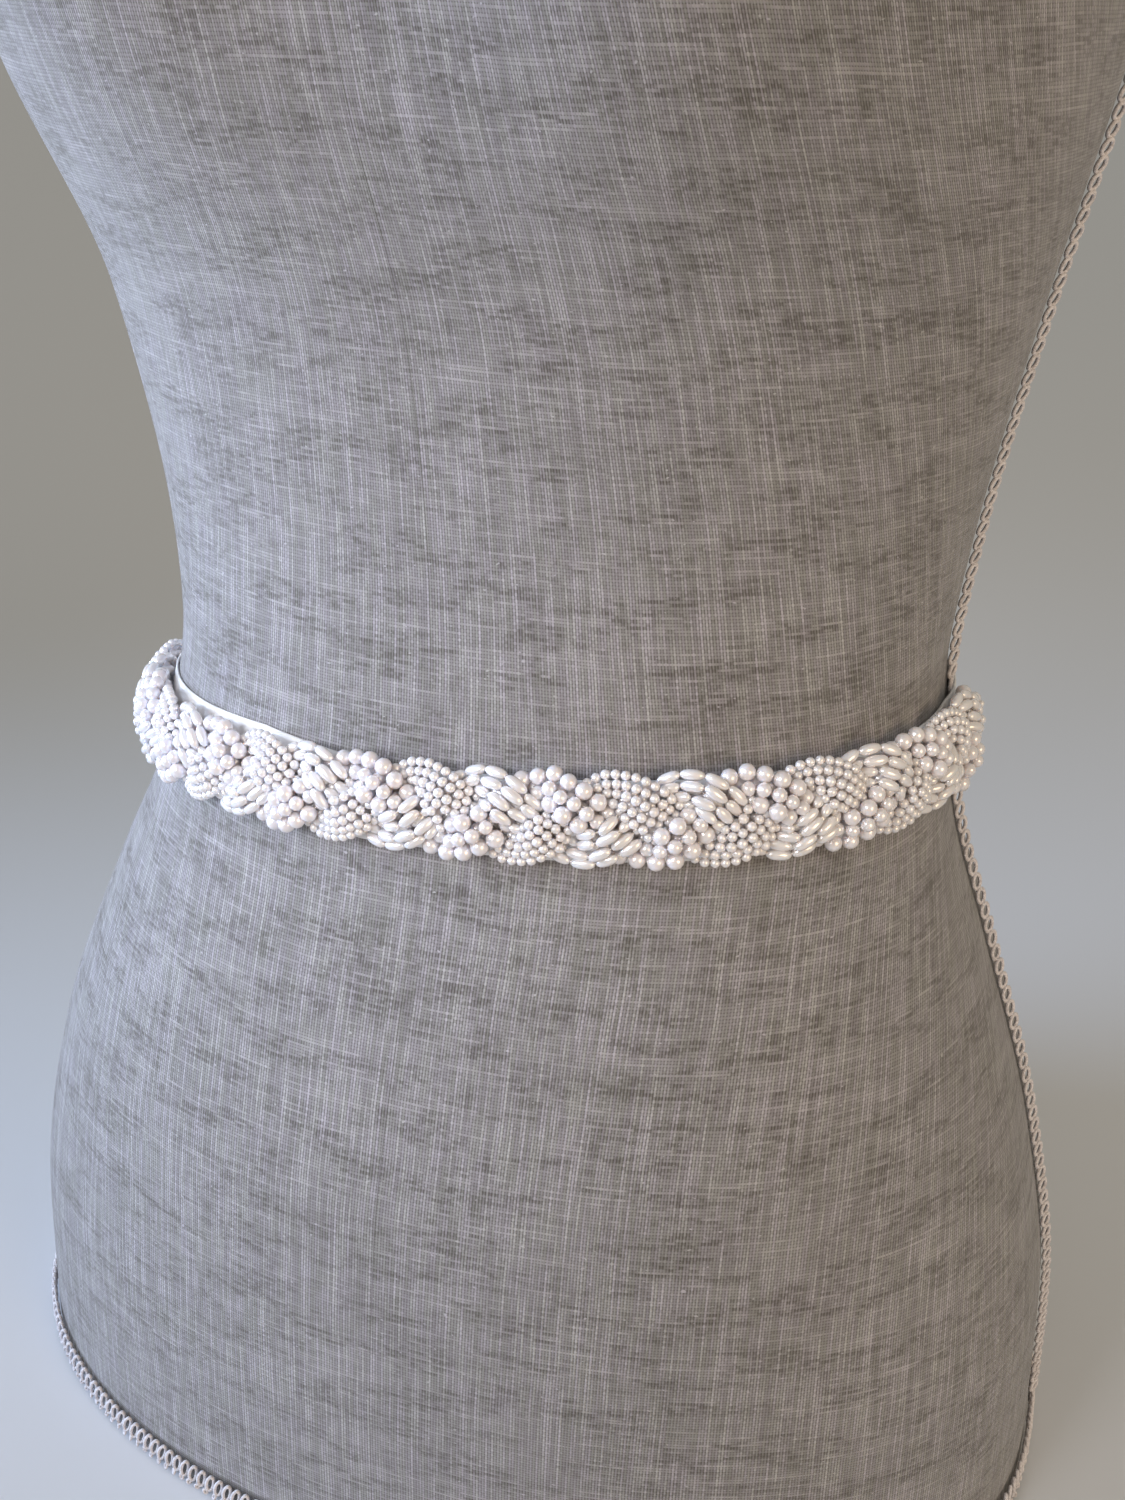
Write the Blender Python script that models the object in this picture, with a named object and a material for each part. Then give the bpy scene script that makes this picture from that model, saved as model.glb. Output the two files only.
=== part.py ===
"""Bridal sash of plaited pearl strands on a satin ribbon, worn by a limbless linen-covered dress form.

All lengths are in metres. The form stands on z = 0, its front faces -Y, and +X is the wearer's left.
"""

import math

import bmesh
import bpy
import numpy as np

# Heights and clearances
WAIST_HEIGHT = 0.2150
CLEARANCE = 0.0004

# Dress form: each section is a rounded oval, its front and back measured from the upright waist axis
FORM_COLUMNS = ("height", "half_width", "middle", "front", "back", "squareness")
FORM_SECTIONS = (
    (0.000, 0.1615, -0.0200, 0.1280, 0.1110, 2.25),
    (0.054, 0.1585, -0.0195, 0.1255, 0.1160, 2.25),
    (0.111, 0.1465, -0.0165, 0.1190, 0.1110, 2.25),
    (0.163, 0.1275, -0.0090, 0.1030, 0.0960, 2.25),
    (0.196, 0.1145, -0.0025, 0.0897, 0.0860, 2.25),
    (0.215, 0.1100, 0.0000, 0.0845, 0.0825, 2.25),
    (0.240, 0.1072, 0.0025, 0.0800, 0.0815, 2.25),
    (0.271, 0.1097, 0.0055, 0.0790, 0.0845, 2.25),
    (0.327, 0.1185, 0.0055, 0.0860, 0.0905, 2.25),
    (0.383, 0.1295, -0.0050, 0.1060, 0.0930, 2.25),
    (0.420, 0.1355, -0.0080, 0.1125, 0.0970, 2.25),
    (0.450, 0.1390, -0.0060, 0.1110, 0.1000, 2.30),
    (0.490, 0.1430, 0.0000, 0.0985, 0.1020, 2.45),
    (0.530, 0.1520, 0.0060, 0.0810, 0.1010, 2.60),
    (0.562, 0.1600, 0.0130, 0.0610, 0.0910, 2.70),
    (0.584, 0.1480, 0.0160, 0.0420, 0.0790, 2.60),
    (0.604, 0.1060, 0.0150, 0.0330, 0.0690, 2.40),
    (0.622, 0.0660, 0.0130, 0.0380, 0.0640, 2.15),
    (0.642, 0.0555, 0.0100, 0.0430, 0.0600, 2.05),
    (0.700, 0.0530, 0.0040, 0.0475, 0.0545, 2.00),
)
FORM_BANDS = ((0.000, 0.175, 8), (0.175, 0.265, 8), (0.265, 0.530, 16), (0.530, 0.642, 10), (0.642, 0.700, 3))
FORM_COLUMNS_ROUND = 44
BUST_HEIGHT = 0.418
BUST_HALF_SPACING = 0.070
BUST_SWELL = 0.021
BUST_WIDTH = 0.054
BUST_RISE = 0.052

# Trims sewn on the form's cover
SEAM_ANGLE = 2 * math.pi / FORM_COLUMNS_ROUND
SEAM_TRIM_WIDTH = 0.0042
SEAM_TRIM_THICKNESS = 0.0011
SEAM_TRIM_TOP = 0.455
SEAM_TRIM_STATIONS = 40
HEM_TRIM_BOTTOM = 0.0006
HEM_TRIM_TOP = 0.0091
HEM_TRIM_THICKNESS = 0.0012
HEM_TRIM_STATIONS = 88

# Satin ribbon: it sits a little aslant on the form and rises over each seam trim
RIBBON_WIDTH = 0.0200
RIBBON_THICKNESS = 0.0010
RIBBON_RISE_TO_LEFT = 0.068
RIBBON_RISE_TO_BACK = -0.061
RIBBON_LAP = 0.032
RIBBON_LAP_STEP = 0.014
RIBBON_STATION = 0.0065
SEAM_LIFT = SEAM_TRIM_THICKNESS + CLEARANCE
SEAM_LIFT_FLAT = 0.0035
SEAM_LIFT_REACH = 0.0200

# Plait of three bundles, centred on the front of the ribbon
PLAIT_LENGTH = 0.372
PLAIT_PITCH = 0.0485
PLAIT_START_TURN = -0.045
BUNDLE_SWAY = 0.0079
BUNDLE_HEAVE = 0.00295
BUNDLE_SHARPNESS = 0.00018
BUNDLE_TILT = 0.26
BUNDLE_TILT_EASE = -0.09
BUNDLE_HALF_WIDTH = 0.0042
BUNDLE_HALF_THICKNESS = 0.0021
BUNDLE_LOBE_SWELL = 0.0002
BUNDLE_SQUARENESS = 2.4
BUNDLE_STATIONS = 126
BUNDLE_GROOVE = 0.00045
END_TAPER = 0.020
END_SECTION = 0.34
END_SWAY = 0.62
PLAIT_STANDOFF = RIBBON_THICKNESS + 2 * CLEARANCE + BUNDLE_HEAVE + BUNDLE_HALF_THICKNESS + BUNDLE_LOBE_SWELL
BUNDLES = (
    ("oat_pearl_bundle", 0, 4),
    ("large_pearl_bundle", 1, 3),
    ("small_pearl_bundle", 2, 5),
)

# Colour, roughness and metallic value of each finish
FINISHES = {
    "linen": ((0.36, 0.34, 0.32, 1.0), 0.85, 0.0),
    "chain_crochet": ((0.66, 0.62, 0.64, 1.0), 0.75, 0.0),
    "satin": ((0.82, 0.83, 0.84, 1.0), 0.35, 0.0),
    "oat_pearl": ((0.86, 0.82, 0.78, 1.0), 0.20, 0.0),
    "large_pearl": ((0.87, 0.81, 0.79, 1.0), 0.18, 0.0),
    "small_pearl": ((0.85, 0.80, 0.77, 1.0), 0.22, 0.0),
}


def clear_scene():
    for thing in list(bpy.data.objects):
        bpy.data.objects.remove(thing, do_unlink=True)


def make_material(name):
    colour, roughness, metallic = FINISHES[name]
    material = bpy.data.materials.new(name)
    material.use_nodes = True
    shader = material.node_tree.nodes["Principled BSDF"]
    shader.inputs["Base Color"].default_value = colour
    shader.inputs["Roughness"].default_value = roughness
    shader.inputs["Metallic"].default_value = metallic
    return material


def smooth_through(xs, ys, x):
    """Read a curve that passes through the table's values without overshooting them."""
    steps = np.diff(xs)
    slopes = np.diff(ys) / steps
    tangents = np.zeros(len(xs))
    tangents[0], tangents[-1] = slopes[0], slopes[-1]
    for i in range(1, len(xs) - 1):
        if slopes[i - 1] * slopes[i] > 0:
            before = 2 * steps[i] + steps[i - 1]
            after = steps[i] + 2 * steps[i - 1]
            tangents[i] = (before + after) / (before / slopes[i - 1] + after / slopes[i])
    x = np.clip(x, xs[0], xs[-1])
    i = np.clip(np.searchsorted(xs, x) - 1, 0, len(steps) - 1)
    u = (x - xs[i]) / steps[i]
    start = (1 + 2 * u) * (1 - u) ** 2 * ys[i] + u * (1 - u) ** 2 * steps[i] * tangents[i]
    end = u * u * (3 - 2 * u) * ys[i + 1] + u * u * (u - 1) * steps[i] * tangents[i + 1]
    return start + end


def form_section(height):
    table = np.array(FORM_SECTIONS)
    heights = table[:, FORM_COLUMNS.index("height")]
    return {name: smooth_through(heights, table[:, i], height) for i, name in enumerate(FORM_COLUMNS)}


def bust_swell(x, height):
    sides = [np.exp(-(((x - side * BUST_HALF_SPACING) / BUST_WIDTH) ** 2)) for side in (-1, 1)]
    return BUST_SWELL * sum(sides) * np.exp(-(((height - BUST_HEIGHT) / BUST_RISE) ** 2))


def rounded_power(value, squareness):
    return np.sign(value) * np.abs(value) ** (2 / squareness)


def form_surface(angle, height):
    """Point on the form, from the waist axis; angle 0 is the wearer's left side and -90 degrees the front."""
    section = form_section(height)
    side, depth = np.cos(angle), np.sin(angle)
    x = section["half_width"] * rounded_power(side, section["squareness"])
    reach = np.where(depth < 0, section["front"] + section["middle"], section["back"] - section["middle"])
    y = section["middle"] + reach * rounded_power(depth, section["squareness"])
    y = y - np.where(depth < 0, bust_swell(x, height) * np.abs(depth) ** 0.5, 0.0)
    return np.stack(np.broadcast_arrays(x, y, height), axis=-1)


def form_heights():
    heights = [FORM_BANDS[0][0]]
    for low, high, count in FORM_BANDS:
        heights += [low + (high - low) * (i + 1) / count for i in range(count)]
    return heights


def form_rings():
    angles = np.arange(FORM_COLUMNS_ROUND) * 2 * math.pi / FORM_COLUMNS_ROUND
    return np.array([form_surface(angles, height) for height in form_heights()])


def unit(vectors):
    return vectors / np.linalg.norm(vectors, axis=-1, keepdims=True)


def sash_line(angle, lift):
    """Point on the form at a height above the slanting centre line of the sash."""
    height = np.full(np.shape(angle), WAIST_HEIGHT + lift)
    for _ in range(6):
        point = form_surface(angle, height)
        height = WAIST_HEIGHT + lift + RIBBON_RISE_TO_LEFT * point[..., 0] + RIBBON_RISE_TO_BACK * point[..., 1]
    return point


def seam_lift(point):
    """How far the ribbon stands off where it crosses the seam trims."""
    distance = np.abs(point[..., 1] - sash_line(np.array([SEAM_ANGLE]), 0.0)[0, 1])
    fade = np.clip((distance - SEAM_LIFT_FLAT) / (SEAM_LIFT_REACH - SEAM_LIFT_FLAT), 0, 1)
    return SEAM_LIFT * 0.5 * (1 + np.cos(math.pi * fade))


class SashTrack:
    """The line that the sash follows: place, upward and outward directions by distance from centre front."""

    def __init__(self, samples=1441):
        angle = np.linspace(-2.0 * math.pi, math.pi, samples)
        low, high = sash_line(angle, -RIBBON_WIDTH / 2), sash_line(angle, RIBBON_WIDTH / 2)
        self.up = unit(high - low)
        along = unit(np.gradient((low + high) / 2, axis=0))
        self.out = unit(np.cross(along, self.up))
        self.base = (low + high) / 2
        self.lift = seam_lift(self.base)
        middle = self.base + self.out * PLAIT_STANDOFF
        steps = np.linalg.norm(np.diff(middle, axis=0), axis=1)
        self.distance = np.concatenate([[0], np.cumsum(steps)])
        self.distance -= np.interp(-math.pi / 2, angle, self.distance)
        self.angle = angle

    def read(self, table, distance):
        return np.stack([np.interp(distance, self.distance, table[:, i]) for i in range(3)], axis=-1)

    def place(self, distance, across, standoff):
        """Point at a distance along, a height across and a standoff from the form's surface."""
        up, out = unit(self.read(self.up, distance)), unit(self.read(self.out, distance))
        rise = standoff + np.interp(distance, self.distance, self.lift)
        return self.read(self.base, distance) + up * across[..., None] + out * rise[..., None]


def loft(name, rings, finish, collection, looped=False):
    """Skin a row of equal rings, closed by caps or looped back to the first ring."""
    mesh = bmesh.new()
    rows = [[mesh.verts.new(point) for point in ring] for ring in rings]
    pairs = list(zip(rows, rows[1:] + rows[:1])) if looped else list(zip(rows, rows[1:]))
    for lower, upper in pairs:
        for i in range(len(lower)):
            j = (i + 1) % len(lower)
            mesh.faces.new((lower[i], lower[j], upper[j], upper[i]))
    if not looped:
        mesh.faces.new(reversed(rows[0]))
        mesh.faces.new(rows[-1])
    bmesh.ops.recalc_face_normals(mesh, faces=mesh.faces)
    data = bpy.data.meshes.new(name)
    mesh.to_mesh(data)
    mesh.free()
    data.shade_smooth()
    data.set_sharp_from_angle(angle=math.radians(40))
    data.materials.append(finish)
    thing = bpy.data.objects.new(name, data)
    collection.objects.link(thing)
    return thing


def band_rings(inner, outer):
    """Rings of a flat band from rows of points on its inner and outer faces."""
    return np.concatenate([inner, outer[:, ::-1]], axis=1)


def make_form(collection, shift):
    return loft("dress_form", form_rings() + shift, make_material("linen"), collection)


def make_seam_trim(name, angle, collection, shift):
    heights = np.linspace(HEM_TRIM_TOP + CLEARANCE, SEAM_TRIM_TOP, SEAM_TRIM_STATIONS)
    centre = form_surface(np.full(len(heights), angle), heights)
    beside = form_surface(np.full(len(heights), angle + 0.02), heights)
    along = unit(np.gradient(centre, axis=0))
    across = unit(beside - centre)
    out = unit(np.cross(across, along))
    half = across * SEAM_TRIM_WIDTH / 2
    inner = np.stack([centre - half, centre + half], axis=1) + (out * CLEARANCE)[:, None]
    outer = inner + (out * SEAM_TRIM_THICKNESS)[:, None]
    return loft(name, band_rings(inner, outer) + shift, make_material("chain_crochet"), collection)


def hem_trim_rings():
    angles = np.arange(HEM_TRIM_STATIONS) * 2 * math.pi / HEM_TRIM_STATIONS
    points = form_surface(angles, np.full(len(angles), HEM_TRIM_TOP))
    along = unit(np.roll(points, -1, axis=0) - np.roll(points, 1, axis=0))
    out = np.cross(along, (0, 0, 1))
    inner, outer = [], []
    for height in (HEM_TRIM_BOTTOM, HEM_TRIM_TOP):
        line = form_surface(angles, np.full(len(angles), height)) + out * CLEARANCE
        inner.append(line)
        outer.append(line + out * HEM_TRIM_THICKNESS)
    return band_rings(np.stack(inner, axis=1), np.stack(outer, axis=1))


def make_hem_trim(collection, shift):
    return loft("hem_trim", hem_trim_rings() + shift, make_material("chain_crochet"), collection, looped=True)


def make_ribbon(track, collection, shift):
    """Wound once round the waist from centre back, its end lapped over its start."""
    back = [np.interp(turn, track.angle, track.distance) for turn in (-1.5 * math.pi, 0.5 * math.pi)]
    start, end = back[0] - RIBBON_LAP / 2, back[1] + RIBBON_LAP / 2
    distance = np.linspace(start, end, round((end - start) / RIBBON_STATION) + 1)
    step = np.clip((distance - end + RIBBON_LAP + RIBBON_LAP_STEP) / RIBBON_LAP_STEP, 0, 1)
    lap = (RIBBON_THICKNESS + CLEARANCE) * step * step * (3 - 2 * step)
    inner, outer = [], []
    for side in (-1, 0, 1):
        across = np.full(len(distance), side * RIBBON_WIDTH / 2)
        sag = ribbon_hollow(track, distance) if side == 0 else 0.0
        inner.append(track.place(distance, across, CLEARANCE + lap - sag))
        outer.append(track.place(distance, across, CLEARANCE + lap - sag + RIBBON_THICKNESS))
    rings = band_rings(np.stack(inner, axis=1), np.stack(outer, axis=1)) + shift
    return loft("ribbon", rings, make_material("satin"), collection)


def ribbon_hollow(track, distance):
    """How far the form's waist curves in behind the ribbon's middle, half of which the ribbon follows."""
    angle = np.interp(distance, track.distance, track.angle)
    gap = track.read(track.base, distance) - sash_line(angle, 0.0)
    return 0.5 * np.clip(np.sum(gap * track.read(track.out, distance), axis=-1), 0, None)


def bundle_section(strands):
    """Outline of a bundle: ribbed by its strands on the outer side, plain on the inner side."""
    ribs = 2 * strands - 1
    outer = [(math.pi * i / (ribs - 1), i % 2) for i in range(ribs)]
    inner = [(math.pi * turn, 0) for turn in (1.25, 1.5, 1.75)]
    return outer + inner


def make_bundle(name, place, strands, track, collection, shift):
    """One leg of the plait, swaying across the ribbon and passing over and under the other two."""
    distance = np.linspace(-PLAIT_LENGTH / 2, PLAIT_LENGTH / 2, BUNDLE_STATIONS)
    turn = 2 * math.pi * (distance / PLAIT_PITCH + PLAIT_START_TURN - place / len(BUNDLES))
    from_end = np.clip((PLAIT_LENGTH / 2 - np.abs(distance)) / END_TAPER, 0, 1)
    ease = from_end * from_end * (3 - 2 * from_end)
    size = END_SECTION + (1 - END_SECTION) * ease
    spread = END_SWAY + (1 - END_SWAY) * ease
    sway = BUNDLE_SWAY * spread * np.sin(turn)
    heave = -spread * (BUNDLE_HEAVE * np.sin(2 * turn) + BUNDLE_SHARPNESS * np.sin(4 * turn))
    slope = BUNDLE_SWAY * spread * np.cos(turn) * 2 * math.pi / PLAIT_PITCH
    tilt = BUNDLE_TILT * np.cos(turn) + BUNDLE_TILT_EASE * np.cos(3 * turn)
    half_width = BUNDLE_HALF_WIDTH * size
    half_thickness = (BUNDLE_HALF_THICKNESS - BUNDLE_LOBE_SWELL * np.cos(2 * turn)) * size
    standoff = RIBBON_THICKNESS + 2 * CLEARANCE + (PLAIT_STANDOFF - RIBBON_THICKNESS - 2 * CLEARANCE) * spread
    lean = 1 / np.sqrt(1 + slope * slope)
    columns = []
    for angle, groove in bundle_section(strands):
        wide = half_width * rounded_power(math.cos(angle), BUNDLE_SQUARENESS)
        thick = half_thickness * rounded_power(math.sin(angle), BUNDLE_SQUARENESS)
        thick = thick - groove * BUNDLE_GROOVE * size
        flat = wide * np.cos(tilt) - thick * np.sin(tilt)
        proud = wide * np.sin(tilt) + thick * np.cos(tilt)
        columns.append(track.place(distance - flat * slope * lean, sway + flat * lean, standoff + heave + proud))
    rings = np.stack(columns, axis=1) + shift
    return loft(name, rings, make_material(name.replace("_bundle", "")), collection)


def build():
    clear_scene()
    collection = bpy.data.collections.new("bridal_sash")
    bpy.context.scene.collection.children.link(collection)
    depths = np.concatenate([form_rings()[..., 1].ravel(), hem_trim_rings()[..., 1].ravel()])
    shift = np.array([0.0, -(depths.min() + depths.max()) / 2, 0.0])
    track = SashTrack()
    make_form(collection, shift)
    make_seam_trim("seam_trim_left", SEAM_ANGLE, collection, shift)
    make_seam_trim("seam_trim_right", math.pi - SEAM_ANGLE, collection, shift)
    make_hem_trim(collection, shift)
    make_ribbon(track, collection, shift)
    for name, place, strands in BUNDLES:
        make_bundle(name, place, strands, track, collection, shift)


build()
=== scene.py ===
"""Looks of the bridal sash on its linen dress form.

Three bundles of pearl strands are plaited on a satin ribbon. Everything is in metres in the part's own frame:
the form stands on z = 0, its front faces -Y, +X is its left.
"""

import math
import random

import bmesh
import bpy
import numpy as np
from mathutils import Matrix, Vector


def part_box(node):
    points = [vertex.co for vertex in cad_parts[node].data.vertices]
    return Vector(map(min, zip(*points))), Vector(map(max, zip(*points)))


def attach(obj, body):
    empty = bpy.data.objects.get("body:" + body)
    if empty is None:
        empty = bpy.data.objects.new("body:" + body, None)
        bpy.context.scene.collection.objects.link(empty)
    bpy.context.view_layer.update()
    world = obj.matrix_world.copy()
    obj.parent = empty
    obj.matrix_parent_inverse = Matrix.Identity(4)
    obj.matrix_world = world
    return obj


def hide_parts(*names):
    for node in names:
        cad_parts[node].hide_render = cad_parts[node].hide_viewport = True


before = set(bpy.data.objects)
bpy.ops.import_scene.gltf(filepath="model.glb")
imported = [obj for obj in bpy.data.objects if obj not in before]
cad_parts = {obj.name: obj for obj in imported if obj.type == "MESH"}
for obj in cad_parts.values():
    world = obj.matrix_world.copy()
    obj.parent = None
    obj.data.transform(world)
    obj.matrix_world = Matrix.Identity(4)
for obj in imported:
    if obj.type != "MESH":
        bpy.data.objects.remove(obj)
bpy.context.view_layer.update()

TAU = 2 * math.pi

# Dress form: the part's own sections, front and back measured from the upright waist axis
WAIST_HEIGHT = 0.2150
CLEARANCE = 0.0004
FORM_COLUMNS = ("height", "half_width", "middle", "front", "back", "squareness")
FORM_SECTIONS = (
    (0.000, 0.1615, -0.0200, 0.1280, 0.1110, 2.25),
    (0.054, 0.1585, -0.0195, 0.1255, 0.1160, 2.25),
    (0.111, 0.1465, -0.0165, 0.1190, 0.1110, 2.25),
    (0.163, 0.1275, -0.0090, 0.1030, 0.0960, 2.25),
    (0.196, 0.1145, -0.0025, 0.0897, 0.0860, 2.25),
    (0.215, 0.1100, 0.0000, 0.0845, 0.0825, 2.25),
    (0.240, 0.1072, 0.0025, 0.0800, 0.0815, 2.25),
    (0.271, 0.1097, 0.0055, 0.0790, 0.0845, 2.25),
    (0.327, 0.1185, 0.0055, 0.0860, 0.0905, 2.25),
    (0.383, 0.1295, -0.0050, 0.1060, 0.0930, 2.25),
    (0.420, 0.1355, -0.0080, 0.1125, 0.0970, 2.25),
    (0.450, 0.1390, -0.0060, 0.1110, 0.1000, 2.30),
    (0.490, 0.1430, 0.0000, 0.0985, 0.1020, 2.45),
    (0.530, 0.1520, 0.0060, 0.0810, 0.1010, 2.60),
    (0.562, 0.1600, 0.0130, 0.0610, 0.0910, 2.70),
    (0.584, 0.1480, 0.0160, 0.0420, 0.0790, 2.60),
    (0.604, 0.1060, 0.0150, 0.0330, 0.0690, 2.40),
    (0.622, 0.0660, 0.0130, 0.0380, 0.0640, 2.15),
    (0.642, 0.0555, 0.0100, 0.0430, 0.0600, 2.05),
    (0.700, 0.0530, 0.0040, 0.0475, 0.0545, 2.00),
)
# Bands of the form: lowest and highest point, and number of rows
FORM_BANDS = (
    (0.000, 0.175, 8),
    (0.175, 0.265, 8),
    (0.265, 0.530, 16),
    (0.530, 0.642, 10),
    (0.642, 0.700, 3),
)
FORM_COLUMNS_ROUND = 44
BUST_HEIGHT = 0.418
BUST_HALF_SPACING = 0.070
BUST_SWELL = 0.021
BUST_WIDTH = 0.054
BUST_RISE = 0.052

# Linen cover: its mesh, and the rows that close it under the base and over the neck
COVER_COLUMNS = 176
COVER_START = -0.75 * TAU
COVER_SPLITS = 3
COVER_END_REACH = 0.12
BACK_PANEL_SHIFT = 0.9
COVER_EDGE = 0.0012
COVER_EDGE_STEP = 0.3
COVER_BASE_SHARES = (0.0, 0.3, 0.6, 0.85, 0.975)
COVER_BASE_EDGE = 0.994
COVER_TOP_EDGE = 0.98
COVER_TOP_SHARES = (0.94, 0.7, 0.4, 0.0)
COVER_ARC_SAMPLES = 721

# Trims sewn on the cover
SEAM_ANGLE = TAU / FORM_COLUMNS_ROUND
SEAM_TRIM_THICKNESS = 0.0011
SEAM_TRIM_TOP = 0.455
SEAM_LINK_PITCH = 0.0040
SEAM_LINK_WIDTH = 0.0044
SEAM_LINK_LENGTH = 0.0052
SEAM_THREAD = 0.0012
SEAM_FACING = -0.52
SEAM_PROUD = 0.0003
SEAM_LINE = SEAM_ANGLE - 2 * TAU / COVER_COLUMNS
SEAM_TUCK = 0.0105
SEAM_TUCK_FADE = 0.004
SEAM_SHAKE = 0.00015
SEAM_LEAN = (0.10, 0.18)
SEAM_TILT = (0.10, 0.32)
HEM_TRIM_BOTTOM = 0.0006
HEM_TRIM_TOP = 0.0091
HEM_LOOP_PITCH = 0.0032
HEM_LOOP_WIDTH = 0.0033
HEM_LOOP_LENGTH = 0.0068
HEM_PICOT_WIDTH = 0.0020
HEM_PICOT_LENGTH = 0.0026
HEM_THREAD = 0.00115
HEM_SAMPLES = 2881
CROCHET_SEED = 7
HEM_SHAKE = 0.06
HEM_LOOP_TILT = (0.16, 0.34)
HEM_LOOP_TURN = (0.30, 0.50)
HEM_PICOT_LEAN = (-0.5, 0.1)
HEM_PICOT_TILT = (-0.5, 0.5)
HEM_PICOT_TURN = (-0.6, 0.6)
HEM_LOOP_STAND = 1.0
HEM_PICOT_STAND = 1.2

# Satin ribbon
RIBBON_WIDTH = 0.0200
RIBBON_THICKNESS = 0.0010
RIBBON_RISE_TO_LEFT = 0.068
RIBBON_RISE_TO_BACK = -0.061
RIBBON_LAP = 0.032
RIBBON_LAP_STEP = 0.014
RIBBON_WALL = 0.0006
RIBBON_STEP = 0.0022
RIBBON_ROWS = 12
RIBBON_SAG = 0.5
RIBBON_RIPPLE = 0.00012
RIBBON_RIPPLE_FINE = 210.0
RIBBON_RIPPLE_BROAD = 57.0
RIBBON_RIPPLE_SLANT = 6.0
RIBBON_LENGTH_SAMPLES = 1200
SEAM_LIFT = SEAM_TRIM_THICKNESS + CLEARANCE
SEAM_LIFT_FLAT = 0.0035
SEAM_LIFT_REACH = 0.0200

# Plait of three bundles, centred on the front of the ribbon
PLAIT_LENGTH = 0.372
PLAIT_PITCH = 0.0485
PLAIT_START_TURN = -0.045
BUNDLE_SWAY = 0.0079
BUNDLE_HEAVE = 0.00295
BUNDLE_SHARPNESS = 0.00018
BUNDLE_TILT = 0.26
BUNDLE_TILT_EASE = -0.09
BUNDLE_HALF_THICKNESS = 0.0021
BUNDLE_LOBE_SWELL = 0.0002
END_TAPER = 0.020
END_SECTION = 0.34
END_SWAY = 0.62
PLAIT_STANDOFF = (
    RIBBON_THICKNESS + 2 * CLEARANCE + BUNDLE_HEAVE + BUNDLE_HALF_THICKNESS + BUNDLE_LOBE_SWELL
)

# Strands of each bundle: sideways and outward place in the bundle, pearl width and pearl length
OAT_STRANDS = (
    (-0.0041, 0.0000, 0.00275, 0.0060),
    (-0.0014, 0.0010, 0.00275, 0.0060),
    (0.0014, 0.0010, 0.00275, 0.0060),
    (0.0041, 0.0000, 0.00275, 0.0060),
    (0.0000, -0.0015, 0.00270, 0.0058),
)
LARGE_STRANDS = (
    (-0.0036, 0.0003, 0.0044, 0.0044),
    (0.0000, 0.0011, 0.0036, 0.0036),
    (0.0035, 0.0003, 0.0042, 0.0042),
    (0.0000, -0.0021, 0.0034, 0.0034),
)
SMALL_STRANDS = (
    (-0.0046, 0.0000, 0.0024, 0.0024),
    (-0.0023, 0.0009, 0.0024, 0.0024),
    (0.0000, 0.0012, 0.0025, 0.0025),
    (0.0023, 0.0009, 0.0024, 0.0024),
    (0.0046, 0.0000, 0.0024, 0.0024),
    (-0.0014, -0.0013, 0.0024, 0.0024),
    (0.0014, -0.0013, 0.0024, 0.0024),
)
# Bundles: pearl name, place in the plait's order, share of the plait's sway, strands
BUNDLES = (
    ("oat_pearl", 0, 0.87, OAT_STRANDS),
    ("large_pearl", 1, 0.83, LARGE_STRANDS),
    ("small_pearl", 2, 0.83, SMALL_STRANDS),
)
PEARL_SEED = 18
PEARL_GAP = 0.00006
PEARL_FULLNESS = 1.035
PEARL_SCALES = (0.965, 1.035)
OAT_FULLNESS = 2.6
STRAND_THREAD = 0.00045
STRAND_STAGGER = 0.004
END_INSETS = (0.024, 0.006)

# Guide that each strand is led along
GUIDE_STEP = 0.0004
GUIDE_SPREAD = 0.98
GUIDE_SPREAD_ON_TOP = 0.08
WANDER_ASIDE = 0.00018
WANDER_OUT = 0.00015
WANDER_WAVES = (0.018, 0.060)
PRESSED = 0.84

# Easing of the strands till they rest on each other
SETTLE_ROUNDS = 260
NEAR_ROUNDS = 13
NEAR_ALONG = 0.0075
NEAR_REACH = 0.0062
PRESS = 0.00003
PULL_FIRST = 0.16
PULL_LAST = 0.04
PULL_ALONG = 0.3
PUSH_GAIN = 1.25
RIBBON_GAP = 0.0001

# How far the ribbon lies below the plait's middle line (negative: above), by distance from centre front
RIBBON_DROPS = (
    (-0.190, 0.0000),
    (-0.165, -0.0010),
    (-0.135, -0.0020),
    (-0.055, -0.0022),
    (-0.020, 0.0017),
    (0.170, 0.0017),
    (0.190, 0.0000),
)

# Camera, as it stood to the waist axis
CAMERA_TURN = math.radians(20.0)
CAMERA_DISTANCE = 0.4322
CAMERA_ABOVE_WAIST = 0.1931
CAMERA_PITCH = math.radians(26.12)
CAMERA_ROLL = math.radians(0.96)
CAMERA_YAW = math.radians(-0.28)
CAMERA_LENS = 39.6
CAMERA_SENSOR = 36.0
CAMERA_CLIP = (0.02, 50.0)

# Studio lights: name, place, size, spread in degrees, power and colour, all aimed at the waist
LIGHTS = (
    ("window", (-0.93, -0.36, 0.42), 0.60, 60, 2.36, (0.56, 0.72, 1.0)),
    ("lamp", (-0.24, -0.66, 0.58), 0.36, 44, 0.245, (1.0, 0.98, 1.0)),
    ("room", (1.50, -1.00, 0.60), 1.0, 120, 4.7, (1.0, 0.74, 0.47)),
)
LIGHT_AIM = (0.0, 0.0, WAIST_HEIGHT + 0.02)
ROOM_COLOUR = (1.0, 0.94, 0.82, 1.0)
ROOM_STRENGTH = 0.39
FLOOR_SIZE = 30.0
FLOOR_COLOUR = (0.73, 0.755, 0.80, 1.0)


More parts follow.
